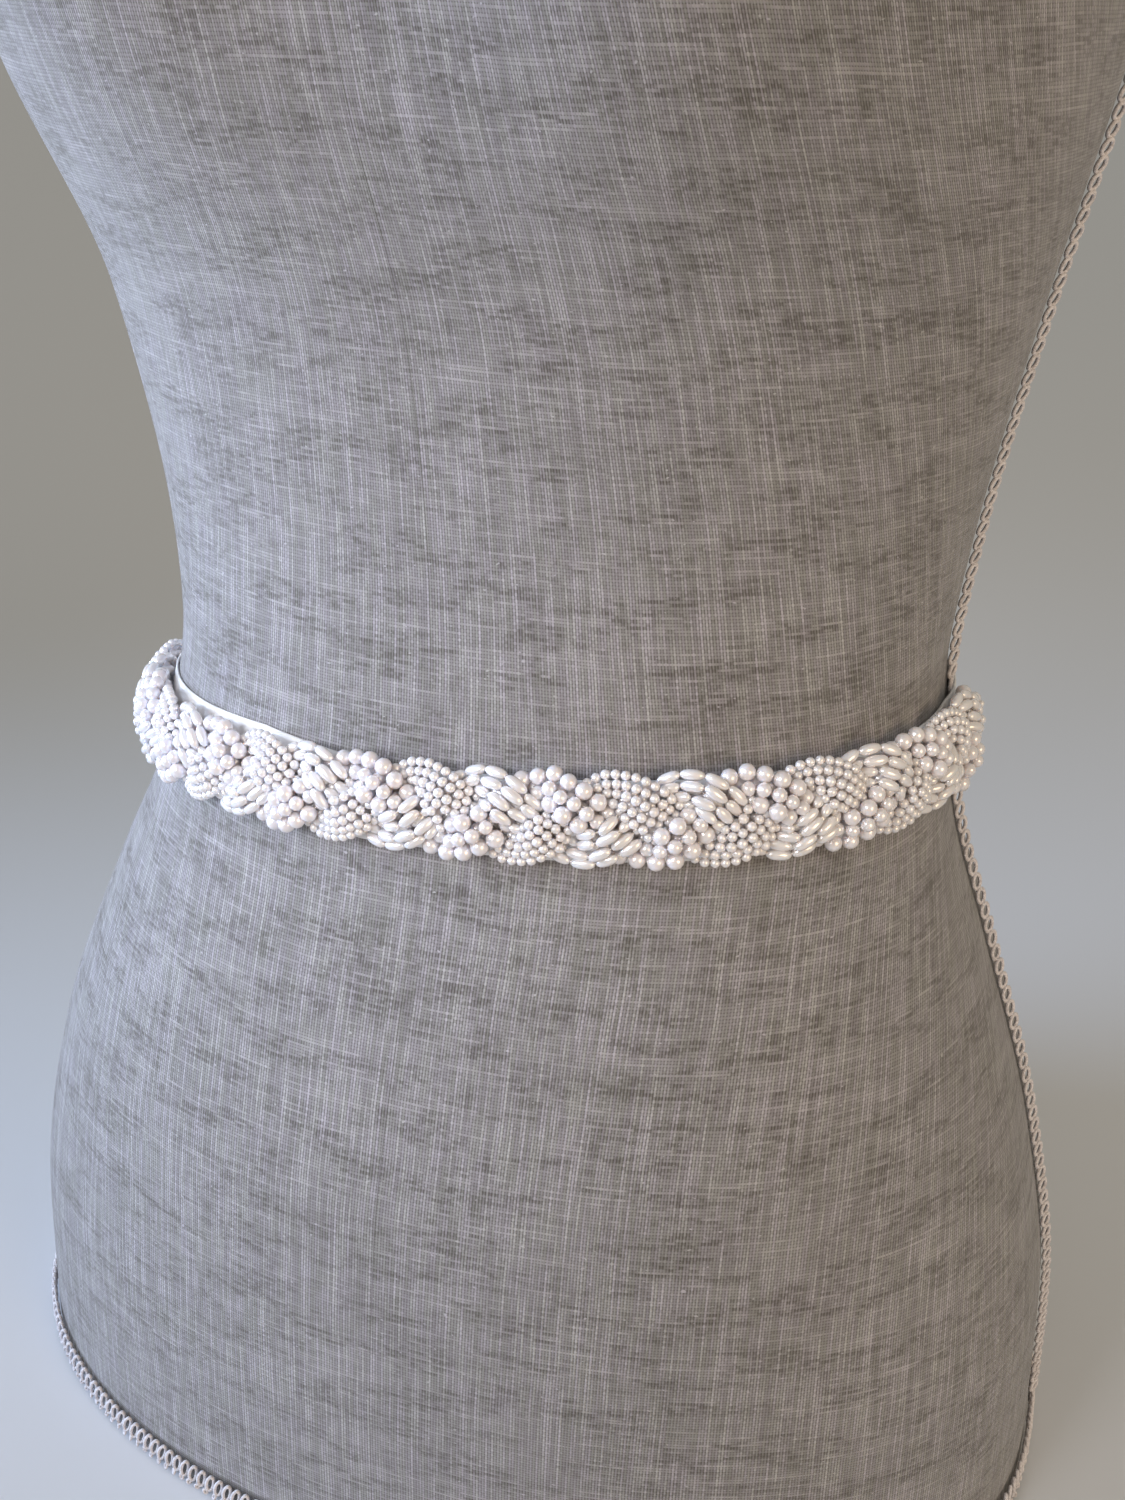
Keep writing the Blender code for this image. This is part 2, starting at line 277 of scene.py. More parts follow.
def smooth_through(xs, ys, x):
    """Read a curve that passes through the table's values without overshooting them."""
    steps = np.diff(xs)
    slopes = np.diff(ys) / steps
    tangents = np.zeros(len(xs))
    tangents[0], tangents[-1] = slopes[0], slopes[-1]
    for i in range(1, len(xs) - 1):
        if slopes[i - 1] * slopes[i] > 0:
            before = 2 * steps[i] + steps[i - 1]
            after = steps[i] + 2 * steps[i - 1]
            tangents[i] = (before + after) / (before / slopes[i - 1] + after / slopes[i])
    x = np.clip(x, xs[0], xs[-1])
    i = np.clip(np.searchsorted(xs, x) - 1, 0, len(steps) - 1)
    u = (x - xs[i]) / steps[i]
    start = (1 + 2 * u) * (1 - u) ** 2 * ys[i] + u * (1 - u) ** 2 * steps[i] * tangents[i]
    end = u * u * (3 - 2 * u) * ys[i + 1] + u * u * (u - 1) * steps[i] * tangents[i + 1]
    return start + end


def rounded_power(value, squareness):
    return np.sign(value) * np.abs(value) ** (2 / squareness)


def bust_swell(x, height):
    sides = [np.exp(-(((x - side * BUST_HALF_SPACING) / BUST_WIDTH) ** 2)) for side in (-1, 1)]
    return BUST_SWELL * sum(sides) * np.exp(-(((height - BUST_HEIGHT) / BUST_RISE) ** 2))


def form_surface(angle, height):
    """Point on the form, from the waist axis; angle 0 is the wearer's left side, -90 degrees the front."""
    table = np.array(FORM_SECTIONS)
    section = {}
    for i, name in enumerate(FORM_COLUMNS):
        section[name] = smooth_through(table[:, 0], table[:, i], height)
    side, depth = np.cos(angle), np.sin(angle)
    x = section["half_width"] * rounded_power(side, section["squareness"])
    reach = np.where(depth < 0, section["front"] + section["middle"], section["back"] - section["middle"])
    y = section["middle"] + reach * rounded_power(depth, section["squareness"])
    y = y - np.where(depth < 0, bust_swell(x, height) * np.abs(depth) ** 0.5, 0.0)
    return np.stack(np.broadcast_arrays(x, y, height), axis=-1)


def form_heights():
    heights = [FORM_BANDS[0][0]]
    for low, high, count in FORM_BANDS:
        heights += [low + (high - low) * (i + 1) / count for i in range(count)]
    return heights


def unit(vectors):
    return vectors / np.linalg.norm(vectors, axis=-1, keepdims=True)


def sash_line(angle, lift):
    """Point on the form at a height above the slanting centre line of the sash."""
    height = np.full(np.shape(angle), WAIST_HEIGHT + lift)
    for _ in range(6):
        point = form_surface(angle, height)
        height = WAIST_HEIGHT + lift + RIBBON_RISE_TO_LEFT * point[..., 0]
        height = height + RIBBON_RISE_TO_BACK * point[..., 1]
    return point


def seam_lift(point):
    """How far the ribbon stands off where it crosses the seam trims."""
    distance = np.abs(point[..., 1] - sash_line(np.array([SEAM_ANGLE]), 0.0)[0, 1])
    fade = np.clip((distance - SEAM_LIFT_FLAT) / (SEAM_LIFT_REACH - SEAM_LIFT_FLAT), 0, 1)
    return SEAM_LIFT * 0.5 * (1 + np.cos(math.pi * fade))


class SashTrack:
    """The line that the sash follows: place, upward and outward directions by distance from the front."""

    def __init__(self, samples=1441):
        self.angle = np.linspace(-TAU, math.pi, samples)
        low, high = sash_line(self.angle, -RIBBON_WIDTH / 2), sash_line(self.angle, RIBBON_WIDTH / 2)
        self.up = unit(high - low)
        self.out = unit(np.cross(unit(np.gradient((low + high) / 2, axis=0)), self.up))
        self.base = (low + high) / 2
        self.lift = seam_lift(self.base)
        steps = np.linalg.norm(np.diff(self.base + self.out * PLAIT_STANDOFF, axis=0), axis=1)
        self.distance = np.concatenate([[0], np.cumsum(steps)])
        self.distance -= np.interp(-math.pi / 2, self.angle, self.distance)

    def read(self, table, distance):
        return np.stack([np.interp(distance, self.distance, table[:, i]) for i in range(3)], axis=-1)

    def place(self, distance, across, standoff):
        """Point at a distance along, a height across and a standoff from the form's surface."""
        up, out = unit(self.read(self.up, distance)), unit(self.read(self.out, distance))
        rise = standoff + np.interp(distance, self.distance, self.lift)
        return self.read(self.base, distance) + up * across[..., None] + out * rise[..., None] + SHIFT


def frame_shift():
    """Place of the waist axis in the part's own frame, read from the form's own box."""
    angles = np.arange(FORM_COLUMNS_ROUND) * TAU / FORM_COLUMNS_ROUND
    front = min(form_surface(angles, height)[:, 1].min() for height in form_heights())
    return np.array([0.0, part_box("dress_form")[0].y - front, 0.0])


SHIFT = frame_shift()


# Materials

# Sockets of a Mix node set to colours
MIX_FIRST = 6
MIX_SECOND = 7
MIX_RESULT = 2


class Finish:
    """A Principled material under construction, with short calls for its nodes."""

    def __init__(self, name, **sockets):
        self.material = bpy.data.materials.new(name)
        self.material.use_nodes = True
        self.tree = self.material.node_tree
        self.shader = self.tree.nodes["Principled BSDF"]
        for socket, value in sockets.items():
            self.shader.inputs[socket.replace("_", " ")].default_value = value

    def node(self, kind, **settings):
        node = self.tree.nodes.new("ShaderNode" + kind)
        for key, value in settings.items():
            setattr(node, key, value)
        return node

    def feed(self, socket, value):
        if isinstance(value, bpy.types.NodeSocket):
            self.tree.links.new(value, socket)
        else:
            socket.default_value = value

    def math(self, operation, *values):
        node = self.node("Math", operation=operation)
        for socket, value in zip(node.inputs, values):
            self.feed(socket, value)
        return node.outputs[0]

    def times(self, first, second):
        return self.math("MULTIPLY", first, second)

    def plus(self, first, second):
        return self.math("ADD", first, second)

    def spot(self, x, y):
        node = self.node("CombineXYZ")
        self.feed(node.inputs[0], x)
        self.feed(node.inputs[1], y)
        return node.outputs[0]

    def noise(self, place, scale=1.0, detail=2.0, roughness=0.5):
        node = self.node("TexNoise")
        self.feed(node.inputs["Vector"], place)
        self.feed(node.inputs["Scale"], scale)
        self.feed(node.inputs["Detail"], detail)
        self.feed(node.inputs["Roughness"], roughness)
        return node.outputs["Fac"]

    def streaks(self, x, y, x_scale, y_scale, detail, roughness):
        """Noise drawn out along one of two coordinates, each with its own scale."""
        spot = self.spot(self.times(x, x_scale), self.times(y, y_scale))
        return self.noise(spot, 1.0, detail, roughness)

    def ramp(self, value, low, high, start=0.0, end=1.0):
        """Stretch a value from low..high to start..end, held at both ends."""
        node = self.node("MapRange", interpolation_type="SMOOTHSTEP")
        for socket, number in zip(node.inputs, (value, low, high, start, end)):
            self.feed(socket, number)
        return node.outputs[0]

    def mix(self, share, first, second, kind="MIX"):
        node = self.node("Mix", data_type="RGBA", blend_type=kind)
        self.feed(node.inputs[0], share)
        self.feed(node.inputs[MIX_FIRST], first)
        self.feed(node.inputs[MIX_SECOND], second)
        return node.outputs[MIX_RESULT]

    def bump(self, height, distance, strength=1.0):
        node = self.node("Bump")
        self.feed(node.inputs["Height"], height)
        self.feed(node.inputs["Distance"], distance)
        self.feed(node.inputs["Strength"], strength)
        self.feed(self.shader.inputs["Normal"], node.outputs[0])

    def colour(self, value):
        self.feed(self.shader.inputs["Base Color"], value)

    def object_place(self):
        return self.node("TexCoord").outputs["Object"]

    def own_map(self, name):
        split = self.node("SeparateXYZ")
        self.feed(split.inputs[0], self.node("UVMap", uv_map=name).outputs[0])
        return split.outputs[0], split.outputs[1]


# Linen cover: pitch of its threads, their wander, and the colours of threads, slubs, gaps and tints
LINEN_PITCH = 0.00080
LINEN_WANDER = 2.4
LINEN_WANDER_SCALE = 16.0
LINEN_PALE = (0.465, 0.457, 0.483, 1.0)
LINEN_WARP = (0.250, 0.244, 0.248, 1.0)
LINEN_WEFT = (0.205, 0.199, 0.199, 1.0)
LINEN_PALE_WEFT = (0.37, 0.358, 0.366, 1.0)
# The slub colour is also used for the painted shade beside the seam chains and above the hem loops
LINEN_SLUB_AND_SHADE = (0.080, 0.071, 0.061, 1.0)
LINEN_GAP = (0.075, 0.069, 0.065, 1.0)
LINEN_MAUVE = (1.02, 0.980, 1.02, 1.0)
LINEN_OLIVE = (1.00, 1.000, 0.950, 1.0)
# How far the front panel is gathered in above the waist, and over what height
LINEN_EASE = 0.58
LINEN_EASE_HEIGHT = 0.24
# Streaks in the linen: scale along each of two coordinates, detail and roughness
WARP_STREAKS = (3.7, 24.0, 3.0, 0.7)
WEFT_STREAKS = (26.0, 2.9, 3.0, 0.7)
SLUB_STREAKS = (150.0, 1.7, 2.0, 0.6)
SLUB_PATCHES = (34.0, 120.0, 5.0, 0.65)
TINT_CLOUDS = (0.9, 60.0, 2.0, 0.5)
NUB_SPECKS = (520.0, 900.0, 1.0, 0.5)
# Painted shade under the trims: its reach from the seam line, its edge in height and its strength
SEAM_SHADE_REACH = (0.0012, 0.0030)
SEAM_SHADE = 0.90
SEAM_SHADE_EDGE = 0.001
HEM_SHADE_EDGES = (-0.0006, 0.0005)
HEM_SHADE = 0.7


def trim_shade(finish):
    """Share of painted shade on the cloth where it lies in the shade of the trims sewn on it: the seam chains
    and the hem loops.
    """
    split = finish.node("SeparateXYZ")
    finish.feed(split.inputs[0], finish.object_place())
    height = split.outputs[2]
    from_seam = finish.math("ABSOLUTE", finish.node("Attribute", attribute_name="from_seam").outputs["Fac"])
    beside = finish.ramp(from_seam, *SEAM_SHADE_REACH, SEAM_SHADE, 0.0)
    below = finish.ramp(height, SEAM_TRIM_TOP - SEAM_SHADE_EDGE, SEAM_TRIM_TOP + SEAM_SHADE_EDGE, 1.0, 0.0)
    low, high = HEM_SHADE_EDGES
    hem = finish.ramp(height, HEM_TRIM_TOP + low, HEM_TRIM_TOP + high, HEM_SHADE, 0.0)
    return finish.math("MAXIMUM", finish.times(beside, below), hem)


def woven_threads(finish, along, beside):
    """Rounded ridge of the thread at each place and that thread's whole number, with a slow wander."""
    drift = finish.noise(finish.spot(along, beside), LINEN_WANDER_SCALE, 2.0)
    count = finish.plus(finish.math("DIVIDE", along, LINEN_PITCH), finish.times(drift, LINEN_WANDER))
    ridge = finish.times(finish.math("PINGPONG", count, 0.5), 2.0)
    return ridge, finish.math("FLOOR", count)


def linen_finish():
    """Open plain weave: pale upright warp threads over a darker, slubbed weft, with small dark gaps."""
    finish = Finish("open_linen_weave", Roughness=0.88, Sheen_Weight=0.32, Sheen_Roughness=0.5)
    u, v = finish.own_map("weave")
    warp_ridge, warp_row = woven_threads(finish, u, v)
    weft_ridge, weft_row = woven_threads(finish, v, u)
    over = finish.math("PINGPONG", finish.plus(warp_row, weft_row), 1.0)
    warp_tone = finish.streaks(warp_row, v, *WARP_STREAKS)
    weft_tone = finish.streaks(u, weft_row, *WEFT_STREAKS)
    patch = finish.streaks(u, v, *SLUB_PATCHES)
    dash = finish.ramp(finish.streaks(u, weft_row, *SLUB_STREAKS), 0.43, 0.62)
    # The weft: some threads are pale, and dark slubs lie in patches
    slub = finish.times(dash, finish.ramp(patch, 0.36, 0.62, 0.20, 1.0))
    weft_colour = finish.mix(finish.ramp(weft_tone, 0.46, 0.72), LINEN_WEFT, LINEN_PALE_WEFT)
    weft_colour = finish.mix(slub, weft_colour, LINEN_SLUB_AND_SHADE)
    ground = finish.mix(finish.ramp(weft_ridge, 0.05, 0.60, 0.25, 1.0), LINEN_GAP, weft_colour)
    # The warp: each thread is pale over long stretches, wider there, and dips where a weft thread is on top
    warp_colour = finish.mix(finish.ramp(warp_tone, 0.38, 0.68), LINEN_WARP, LINEN_PALE)
    edge = finish.plus(finish.times(finish.ramp(warp_tone, 0.30, 0.75), -0.16), 0.30)
    cover = finish.ramp(finish.math("SUBTRACT", warp_ridge, edge), 0.0, 0.44)
    cover = finish.times(cover, finish.math("MULTIPLY_ADD", over, 0.30, 0.66))
    cover = finish.times(cover, finish.math("MULTIPLY_ADD", slub, -0.35, 1.0))
    colour = finish.mix(cover, ground, warp_colour)
    # Over both: dark patches, pale nubs, the trims' shade painted in the slub colour and a slow change of
    # tint
    colour = finish.mix(finish.ramp(patch, 0.44, 0.74, 0.0, 0.30), colour, LINEN_SLUB_AND_SHADE)
    nub = finish.streaks(u, v, *NUB_SPECKS)
    colour = finish.mix(finish.ramp(nub, 0.70, 0.80, 0.0, 0.8), colour, LINEN_PALE)
    # Painted shade: the cloth is darkened to the slub colour beside the seam chains and just above the hem
    # loops
    colour = finish.mix(trim_shade(finish), colour, LINEN_SLUB_AND_SHADE)
    cloud = finish.ramp(finish.streaks(warp_row, v, *TINT_CLOUDS), 0.40, 0.60)
    finish.colour(finish.mix(1.0, colour, finish.mix(cloud, LINEN_MAUVE, LINEN_OLIVE), "MULTIPLY"))
    warp_top = finish.times(warp_ridge, finish.math("MULTIPLY_ADD", weft_ridge, 0.4, 0.6))
    finish.bump(finish.math("MAXIMUM", warp_top, finish.times(weft_ridge, 0.8)), 0.00020, 0.6)
    return finish.material


# Nacre of each kind of pearl: its cool and its warm colour
NACRE = {
    "oat_pearl": ((0.905, 0.872, 0.905, 1.0), (0.885, 0.842, 0.852, 1.0)),
    "large_pearl": ((0.900, 0.862, 0.905, 1.0), (0.880, 0.832, 0.862, 1.0)),
    "small_pearl": ((0.905, 0.867, 0.905, 1.0), (0.885, 0.837, 0.852, 1.0)),
}


def pearl_finish(name, cool, warm):
    """Imitation pearl: a smooth nacre coat over a pale bead, each bead a little different."""
    finish = Finish(
        name,
        Metallic=0.24,
        Roughness=0.33,
        IOR=1.55,
        Coat_Weight=1.0,
        Coat_Roughness=0.13,
        Coat_IOR=2.15,
        Subsurface_Weight=0.90,
        Subsurface_Scale=0.0022,
        Subsurface_Radius=(1.0, 0.88, 0.80),
    )
    tone = finish.node("Attribute", attribute_name="tone").outputs["Fac"]
    cloud = finish.noise(finish.object_place(), 420.0, 2.0)
    mixed = finish.mix(tone, cool, warm)
    finish.colour(finish.mix(finish.ramp(cloud, 0.35, 0.75, 0.0, 0.25), mixed, warm))
    finish.bump(finish.noise(finish.object_place(), 1200.0, 1.0), 0.00002, 0.15)
    return finish.material


SATIN_SHADED = (0.93, 0.935, 0.955, 1.0)
SATIN_BRIGHT = (0.96, 0.965, 0.98, 1.0)
SATIN_EDGE = (0.86, 0.87, 0.90, 1.0)
SATIN_EDGE_BAND = (0.0011, 0.0007)
SATIN_RIB_PITCH = 0.00035
SATIN_FLOATS = (260.0, 5200.0, 2.0, 0.5)


def satin_finish():
    """Woven satin ribbon: long floats along its length, fine ribs and bright smooth face."""
    finish = Finish(
        "woven_satin", Roughness=0.34, Sheen_Weight=0.35, Anisotropic=0.55, Specular_IOR_Level=0.6
    )
    u, v = finish.own_map("weave")
    ribs = finish.math("SINE", finish.times(u, TAU / SATIN_RIB_PITCH))
    floats = finish.streaks(u, v, *SATIN_FLOATS)
    inner, outer = (RIBBON_WIDTH / 2 - inset for inset in SATIN_EDGE_BAND)
    edge = finish.ramp(finish.math("ABSOLUTE", v), inner, outer)
    colour = finish.mix(finish.ramp(floats, 0.3, 0.7), SATIN_SHADED, SATIN_BRIGHT)
    finish.colour(finish.mix(finish.times(edge, 0.5), colour, SATIN_EDGE))
    height = finish.plus(finish.times(ribs, 0.3), finish.times(floats, 0.8))
    finish.bump(finish.plus(height, finish.times(edge, 1.2)), 0.00004, 0.35)
    return finish.material


COTTON_DEEP = (0.52, 0.485, 0.505, 1.0)
COTTON_PALE = (0.84, 0.805, 0.835, 1.0)
COTTON_BLEACHED = (0.90, 0.87, 0.90, 1.0)


def crochet_finish():
    """Soft two-ply cotton thread with a fuzzy surface."""
    finish = Finish("crochet_cotton", Roughness=0.82, Sheen_Weight=0.4)
    place = finish.object_place()
    twist = finish.noise(place, 1500.0, 3.0, 0.6)
    cloud = finish.noise(place, 180.0, 2.0)
    colour = finish.mix(finish.ramp(twist, 0.3, 0.7), COTTON_DEEP, COTTON_PALE)
    finish.colour(finish.mix(finish.ramp(cloud, 0.35, 0.7, 0.0, 0.3), colour, COTTON_BLEACHED))
    finish.bump(twist, 0.0003, 0.8)
    return finish.material


CREAM_DEEP = (0.72, 0.66, 0.58, 1.0)
CREAM_PALE = (0.90, 0.86, 0.79, 1.0)


def thread_finish():
    """Cream beading thread, seen only in the gaps between pearls."""
    finish = Finish("cream_thread", Roughness=0.6)
    twist = finish.noise(finish.object_place(), 2400.0, 2.0)
    finish.colour(finish.mix(twist, CREAM_DEEP, CREAM_PALE))
    finish.bump(twist, 0.0001, 0.6)
    return finish.material


# Mesh helpers

def to_data(name, mesh):
    data = bpy.data.meshes.new(name)
    mesh.to_mesh(data)
    mesh.free()
    return data


def finish_piece(name, data, material, nodes):
    """Make the piece's object, its material and its links to the part."""
    data.name = name
    data.shade_smooth()
    data.materials.append(material)
    piece = bpy.data.objects.new(name, data)
    bpy.context.scene.collection.objects.link(piece)
    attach(piece, "root")
    if nodes:
        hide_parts(*nodes)
    return piece


def scattered(template, places, tones=None):
    """Copies of one small mesh, joined in one, each set at its own 4 x 4 place and given its own tone."""
    mesh = bmesh.new()
    for _ in places:
        mesh.from_mesh(template)
    data = to_data("scattered", mesh)
    corners = np.array([(*vert.co, 1.0) for vert in template.vertices])
    moved = np.einsum("pij,vj->pvi", np.array(places), corners)[..., :3]
    data.vertices.foreach_set("co", moved.reshape(-1))
    if tones is not None:
        layer = data.attributes.new("tone", "FLOAT", "POINT")
        layer.data.foreach_set("value", np.repeat(tones, len(corners)).astype(np.float32))
    data.update()
    return data


def joined(name, parts):
    """Several meshes in one, their attributes kept."""
    mesh = bmesh.new()
    for part in parts:
        mesh.from_mesh(part)
    return to_data(name, mesh)


def set_at(middle, right, up, out):
    """A 4 x 4 place whose own X, Z and Y axes point right, up and out."""
    place = np.eye(4)
    place[:3, 0], place[:3, 2], place[:3, 1], place[:3, 3] = right, up, out, middle
    return place


def turned(place, x=0.0, y=0.0, z=0.0):
    """The same place, turned about its own axes, in radians."""
    turn = Matrix.Rotation(z, 4, "Z") @ Matrix.Rotation(y, 4, "Y") @ Matrix.Rotation(x, 4, "X")
    return place @ np.array(turn)


def wrapped_grid(columns, rows, place, chart):
    """A flat grid wrapped to place(u, v), with its own map from chart(u, v, u of the face's middle).

    All three run from 0 to 1 over the grid.
    """
    mesh = bmesh.new()
    bmesh.ops.create_grid(mesh, x_segments=columns, y_segments=rows, size=0.5)
    flat = np.array([vert.co[:2] for vert in mesh.verts]) + 0.5
    weave = mesh.loops.layers.uv.new("weave")
    mesh.verts.index_update()
    loops = [loop for face in mesh.faces for loop in face.loops]
    corners = flat[[loop.vert.index for loop in loops]]
    middles = np.repeat(corners[:, 0].reshape(-1, 4).mean(axis=1), 4)
    for loop, charted in zip(loops, chart(corners[:, 0], corners[:, 1], middles)):
        loop[weave].uv = charted
    for vert, point in zip(mesh.verts, place(flat[:, 0], flat[:, 1])):
        vert.co = point
    return mesh


def thread_loop(width, length, thread, around=12, sides=5):
    """An oval loop of thread, upright in the XZ plane: a small circle spun full round, then drawn out."""
    mesh = bmesh.new()
    radius = (width - thread) / 2
    centre = (radius, 0, 0)
    on_edge = Matrix.Translation(centre) @ Matrix.Rotation(math.pi / 2, 4, "X")
    bmesh.ops.create_circle(mesh, segments=sides, radius=thread / 2, matrix=on_edge)
    bmesh.ops.rotate(mesh, verts=mesh.verts, cent=centre, matrix=Matrix.Rotation(math.pi / 2, 3, "X"))
    bmesh.ops.spin(
        mesh,
        geom=mesh.verts[:] + mesh.edges[:],
        cent=(0, 0, 0),
        axis=(0, 1, 0),
        angle=TAU,
        steps=around,
        use_merge=True,
    )
    bmesh.ops.remove_doubles(mesh, verts=mesh.verts, dist=1e-6)
    for vert in mesh.verts:
        vert.co.z += (length - width) / 2 * vert.co.z / math.hypot(vert.co.x, vert.co.z)
    bmesh.ops.recalc_face_normals(mesh, faces=mesh.faces)
    return to_data("loop", mesh)


# Camera, floor and light

def make_camera():
    turn = CAMERA_TURN + CAMERA_YAW
    level_reach = math.cos(CAMERA_PITCH)
    forward = Vector((-math.sin(turn) * level_reach, math.cos(turn) * level_reach, -math.sin(CAMERA_PITCH)))
    level = Vector((math.cos(turn), math.sin(turn), 0.0))
    upright = level.cross(forward)
    right = level * math.cos(CAMERA_ROLL) + upright * math.sin(CAMERA_ROLL)
    up = upright * math.cos(CAMERA_ROLL) - level * math.sin(CAMERA_ROLL)
    camera = bpy.data.cameras.new("camera")
    camera.lens = CAMERA_LENS
    camera.sensor_width = CAMERA_SENSOR
    camera.clip_start, camera.clip_end = CAMERA_CLIP
    eye = bpy.data.objects.new("camera", camera)
    eye.matrix_world = Matrix((right, up, -forward)).transposed().to_4x4()
    eye.location = (
        CAMERA_DISTANCE * math.sin(CAMERA_TURN),
        SHIFT[1] - CAMERA_DISTANCE * math.cos(CAMERA_TURN),
        WAIST_HEIGHT + CAMERA_ABOVE_WAIST,
    )
    bpy.context.scene.collection.objects.link(eye)
    bpy.context.scene.camera = eye


def make_floor():
    mesh = bmesh.new()
    bmesh.ops.create_grid(mesh, x_segments=2, y_segments=2, size=FLOOR_SIZE)
    data = to_data("floor", mesh)
    finish = Finish("pale_floor", Roughness=0.85)
    finish.colour(FLOOR_COLOUR)
    data.materials.append(finish.material)
    floor = bpy.data.objects.new("floor", data)
    bpy.context.scene.collection.objects.link(floor)


def make_light(name, place, size, spread, power, colour):
    light = bpy.data.lights.new(name, "AREA")
    light.shape = "DISK"
    light.size = size
    light.spread = math.radians(spread)
    light.energy = power
    light.color = colour
    lamp = bpy.data.objects.new(name, light)
    lamp.location = place
    lamp.rotation_euler = (Vector(LIGHT_AIM) - Vector(place)).to_track_quat("-Z", "Y").to_euler()
    bpy.context.scene.collection.objects.link(lamp)


def make_studio():
    """Soft light: a bright room, a cool window at the form's right, a lamp in front and a warm left side."""
    world = bpy.data.worlds.new("studio")
    world.use_nodes = True
    background = world.node_tree.nodes["Background"]
    background.inputs["Color"].default_value = ROOM_COLOUR
    background.inputs["Strength"].default_value = ROOM_STRENGTH
    bpy.context.scene.world = world
    bpy.context.scene.view_settings.view_transform = "Standard"
    for light in LIGHTS:
        make_light(*light)


# The cover on the form

def seam_course(side, heights):
    """Line of one seam trim: its place on the cloth, and its across, up and outward directions."""
    angle = SEAM_LINE if side > 0 else math.pi - SEAM_LINE
    line = form_surface(np.full(len(heights), angle), heights)
    across = unit(form_surface(np.full(len(heights), angle + 0.02), heights) - line)
    above = form_surface(np.full(len(heights), angle), heights + 0.001)
    below = form_surface(np.full(len(heights), angle), heights - 0.001)
    up = unit(above - below + np.array([0.0, 0.0, 1e-9]))
    return line + SHIFT, across, up, unit(np.cross(across, up))


def cover_rows():
    """Heights of the cover's rows with how far each is drawn in: flat underside, wall, flat neck top."""
    heights = form_heights()
    wall = [heights[0] + COVER_EDGE]
    for low, high in zip(heights, heights[1:]):
        wall += [low + (high - low) * (i + 1) / COVER_SPLITS for i in range(COVER_SPLITS)]
    base, top = heights[0], heights[-1]
    rows = [(base, share) for share in COVER_BASE_SHARES]
    rows.append((base + COVER_EDGE * COVER_EDGE_STEP, COVER_BASE_EDGE))
    rows += [(height, 1.0) for height in wall[:-1]]
    rows += [(top - COVER_EDGE, 1.0), (top - COVER_EDGE * COVER_EDGE_STEP, COVER_TOP_EDGE)]
    rows += [(top, share) for share in COVER_TOP_SHARES]
    return np.array(rows)


def make_cover(material):
    """The cover, cut as a front and a back panel that meet under the seam chains, each with its own grain."""
    rows = cover_rows()
    count = len(rows) - 1
    spans = []
    for angle in (-math.pi / 2, math.pi / 2):
        profile = form_surface(np.full(len(rows), angle), rows[:, 0])[:, 1:]
        spans.append(np.cumsum(np.concatenate([[0], np.linalg.norm(np.diff(profile, axis=0), axis=1)])))

    def read(v):
        place = np.round(v * count).astype(int)
        return rows[place, 0], rows[place, 1], place

    def place(u, v):
        height, share, _ = read(v)
        point = form_surface(COVER_START + u * TAU, height)
        left, right = (form_surface(np.full(len(u), angle), height) for angle in (0.0, math.pi))
        middle = (left + right) / 2
        return middle + (point - middle) * share[:, None] + SHIFT

    def chart(u, v, middle):
        _, share, row = read(v)
        turn = COVER_START + middle * TAU
        front = (turn > -math.pi - SEAM_LINE) & (turn < SEAM_LINE)
        fine = np.linspace(0, 1, COVER_ARC_SAMPLES)
        across = np.zeros(len(u))
        for i in np.unique(row):
            ring = form_surface(COVER_START + fine * TAU, np.full(len(fine), rows[i, 0]))
            arc = np.concatenate([[0], np.cumsum(np.linalg.norm(np.diff(ring, axis=0), axis=1))])
            eased = 1 + LINEN_EASE * np.clip((rows[i, 0] - WAIST_HEIGHT) / LINEN_EASE_HEIGHT, 0, 1)
            here = row == i
            met = np.interp(u[here], fine, arc)
            from_front = (met - arc[len(arc) // 2]) * eased
            from_back = np.where(middle[here] < 0.5, met, met - arc[-1]) + BACK_PANEL_SHIFT
            across[here] = np.where(front[here], from_front, from_back) * rows[i, 1]
        flat_end = np.where(v < 0.5, -1, 1) * (1 - share) * COVER_END_REACH
        along = np.where(front, spans[0][row], spans[1][row] + BACK_PANEL_SHIFT)
        return np.stack([across, along + flat_end], axis=1)

    mesh = wrapped_grid(COVER_COLUMNS, count, place, chart)
    from_seam = mesh.verts.layers.float.new("from_seam")
    for side in (-1, 1):
        own = [vert for vert in mesh.verts if vert.co.x * side > 0]
        points = np.array([vert.co for vert in own])
        centre, across, _, _ = seam_course(side, points[:, 2])
        for vert, distance in zip(own, np.sum((points - centre) * across, axis=1)):
            vert[from_seam] = distance
    bmesh.ops.remove_doubles(mesh, verts=mesh.verts, dist=1e-6)
    bmesh.ops.recalc_face_normals(mesh, faces=mesh.faces)
    return finish_piece("linen_cover", to_data("linen_cover", mesh), material, ["dress_form"])


# The ribbon

